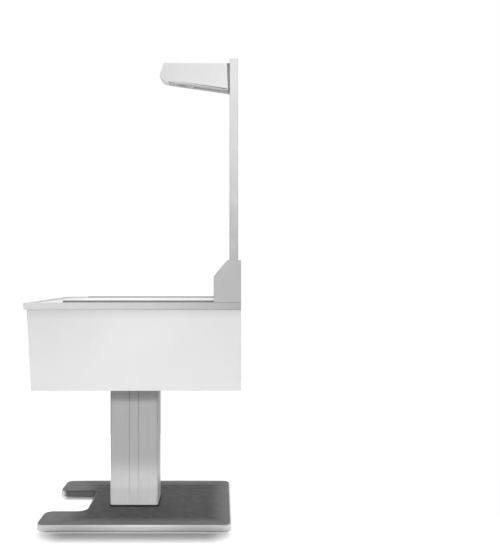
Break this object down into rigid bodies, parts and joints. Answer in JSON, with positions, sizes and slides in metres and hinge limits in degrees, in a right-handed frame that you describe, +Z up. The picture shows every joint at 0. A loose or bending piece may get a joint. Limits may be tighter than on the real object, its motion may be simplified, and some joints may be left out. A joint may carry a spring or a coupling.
{
  "type": "self checkout kiosk",
  "caption": "Height-adjustable self checkout kiosk: notched floor plate, lifting column, deep white cabinet, weighing platter, rear upstand and mast with overhead scanning head.",
  "frame": {"origin": "on the floor under the middle of the counter's bounding box", "axes": "+Z up; the shopper stands at -Y; +X is the shopper's right"},
  "size_m": [0.75, 0.773, 1.82],
  "materials": {
    "silver_plate": "brushed silver metal edge",
    "dark_cover": "dark grey satin top sheet",
    "foot_rubber": "matt black rubber",
    "column_aluminium": "satin brushed extrusion",
    "stage_aluminium": "satin brushed extrusion, darker",
    "black_plastic": "fine textured black plastic",
    "liner_plastic": "plain grey slide plastic",
    "machine_steel": "zinc-plated steel",
    "lock_chrome": "plated lock face",
    "nut_brass": "machined brass",
    "white_paint": "satin white powder coat",
    "head_shell": "white moulded plastic",
    "rail_paint": "light grey painted aluminium",
    "platter_white": "back-painted white tempered glass",
    "guide_plastic": "dark grey rub strip",
    "cell_aluminium": "plain machined aluminium",
    "grey_paint": "mid grey satin paint",
    "dark_glass": "black cover glass",
    "light_diffuser": "opal diffuser",
    "electronics_case": "dark electronics case",
    "button_plastic": "grey satin keycap"
  },
  "bodies": {
    "base": {"base_plate": "silver_plate", "base_cover": "dark_cover", "levelling_foot_1": "foot_rubber", "levelling_foot_2": "foot_rubber", "levelling_foot_3": "foot_rubber", "levelling_foot_4": "foot_rubber", "column_foot_gasket": "foot_rubber", "column_outer_tube": "column_aluminium", "column_wiper_collar": "black_plastic", "column_glide_liner": "liner_plastic", "lift_motor": "machine_steel"},
    "spindle": {"lift_spindle": "machine_steel"},
    "mast": {"mast_tube": "white_paint", "mast_end_cap": "head_shell", "head_mount_plate": "guide_plastic", "head_housing": "head_shell", "head_light_tray": "grey_paint", "light_panel": "light_diffuser", "scan_camera": "dark_glass"},
    "door": {"service_door": "white_paint"},
    "lock": {"door_lock": "lock_chrome"},
    "up_button": {"height_up_button": "button_plastic"},
    "down_button": {"height_down_button": "button_plastic"},
    "rocker": {"power_rocker": "button_plastic"},
    "carriage": {"cabinet_bottom_pan": "white_paint", "cabinet_front_panel": "white_paint", "cabinet_left_panel": "white_paint", "cabinet_rear_panel": "white_paint", "cabinet_right_panel": "white_paint", "card_reader": "black_plastic", "column_inner_tube": "stage_aluminium", "column_top_flange": "stage_aluminium", "counter_deck": "rail_paint", "counter_rail_front": "rail_paint", "counter_rail_left": "rail_paint", "counter_rail_rear": "rail_paint", "counter_rail_right": "rail_paint", "display_bezel": "grey_paint", "door_hinge_lower": "machine_steel", "door_hinge_upper": "machine_steel", "height_switch_housing": "black_plastic", "kiosk_computer": "electronics_case", "lift_control_box": "electronics_case", "mast_collar": "head_shell", "mast_guide_sleeve": "liner_plastic", "mounting_beam_left": "machine_steel", "mounting_beam_right": "machine_steel", "platter_guide_left": "guide_plastic", "platter_guide_right": "guide_plastic", "power_inlet": "black_plastic", "receipt_printer": "black_plastic", "scale_load_cell": "cell_aluminium", "scale_platter": "platter_white", "spindle_nut": "nut_brass", "touch_display": "dark_glass", "upstand_front_panel": "grey_paint", "upstand_left_cap": "grey_paint", "upstand_rear_panel": "grey_paint", "upstand_right_cap": "grey_paint", "upstand_top_panel": "grey_paint"}
  },
  "joints": [
    {"name": "column_lift", "type": "slide", "parent": "base", "child": "carriage", "axis": [0, 0, 1], "range_m": [0, 0.25]},
    {"name": "spindle_turn", "type": "hinge", "parent": "base", "child": "spindle", "pos_m": [0, -0.0295, 0.3], "axis": [0, 0, 1], "continuous": true},
    {"name": "mast_slide", "type": "slide", "parent": "carriage", "child": "mast", "axis": [0, 0, 1], "range_m": [0, 0.1]},
    {"name": "door_swing", "type": "hinge", "parent": "carriage", "child": "door", "pos_m": [0.3583, 0.3794, 0.68], "axis": [0, 0, -1], "range_deg": [0, 95]},
    {"name": "lock_turn", "type": "hinge", "parent": "door", "child": "lock", "pos_m": [0.082, 0.3844, 0.68], "axis": [0, 1, 0], "range_deg": [0, 90]},
    {"name": "up_press", "type": "slide", "parent": "carriage", "child": "up_button", "axis": [0, 0.9985, 0.0553], "range_m": [0, 0.0018], "stiffness_N_per_m": 400},
    {"name": "down_press", "type": "slide", "parent": "carriage", "child": "down_button", "axis": [0, 0.9985, 0.0553], "range_m": [0, 0.0018], "stiffness_N_per_m": 400},
    {"name": "rocker_turn", "type": "hinge", "parent": "carriage", "child": "rocker", "pos_m": [-0.262, 0.278, 0.5357], "axis": [1, 0, 0], "range_deg": [0, 16]}
  ],
  "couplings": [
    {"joint": "spindle_turn", "follows": "column_lift", "rad_per_m": 314.16}
  ]
}
